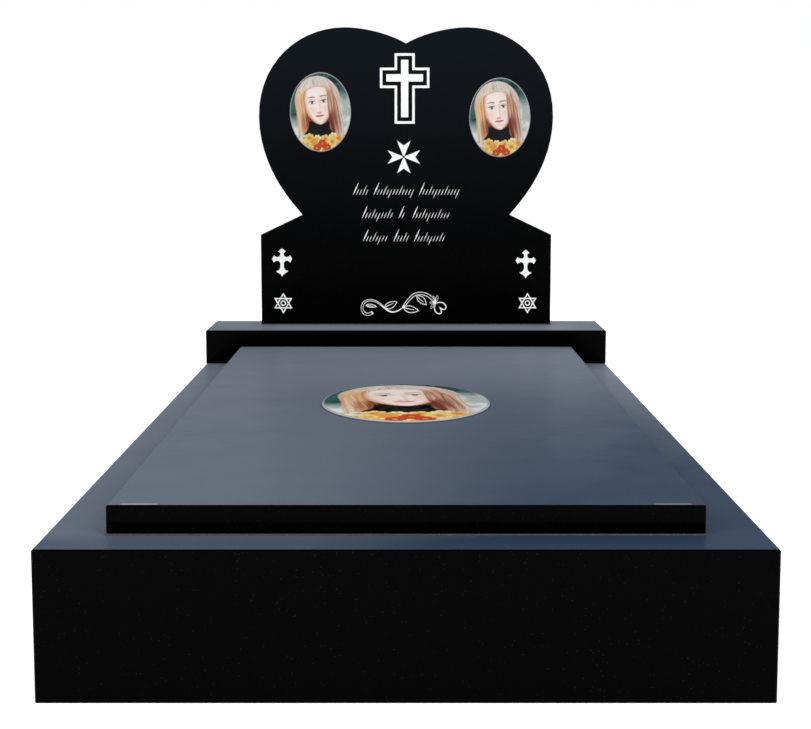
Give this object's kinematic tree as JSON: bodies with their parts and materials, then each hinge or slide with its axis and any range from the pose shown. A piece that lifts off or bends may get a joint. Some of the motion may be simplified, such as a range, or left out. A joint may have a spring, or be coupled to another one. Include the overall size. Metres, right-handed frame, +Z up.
{
  "type": "heart-shaped grave monument",
  "caption": "Polished granite grave monument: open kerb base, ledger slab, plinth and engraved heart-shaped headstone with oval porcelain portraits.",
  "frame": {"origin": "middle of the kerb base's underside", "axes": "+X to the right facing the headstone, +Y from the foot of the grave to the head, +Z up"},
  "size_m": [0.9, 2, 0.944],
  "materials": {
    "black_granite": "polished, fine-grained black granite",
    "porcelain": "glazed porcelain with a printed portrait"
  },
  "bodies": {
    "root": {"kerb_base": "black_granite", "ledger_slab": "black_granite", "headstone_plinth": "black_granite", "headstone": "black_granite", "medallion_left": "porcelain", "medallion_right": "porcelain", "medallion_ledger": "porcelain"}
  },
  "joints": []
}
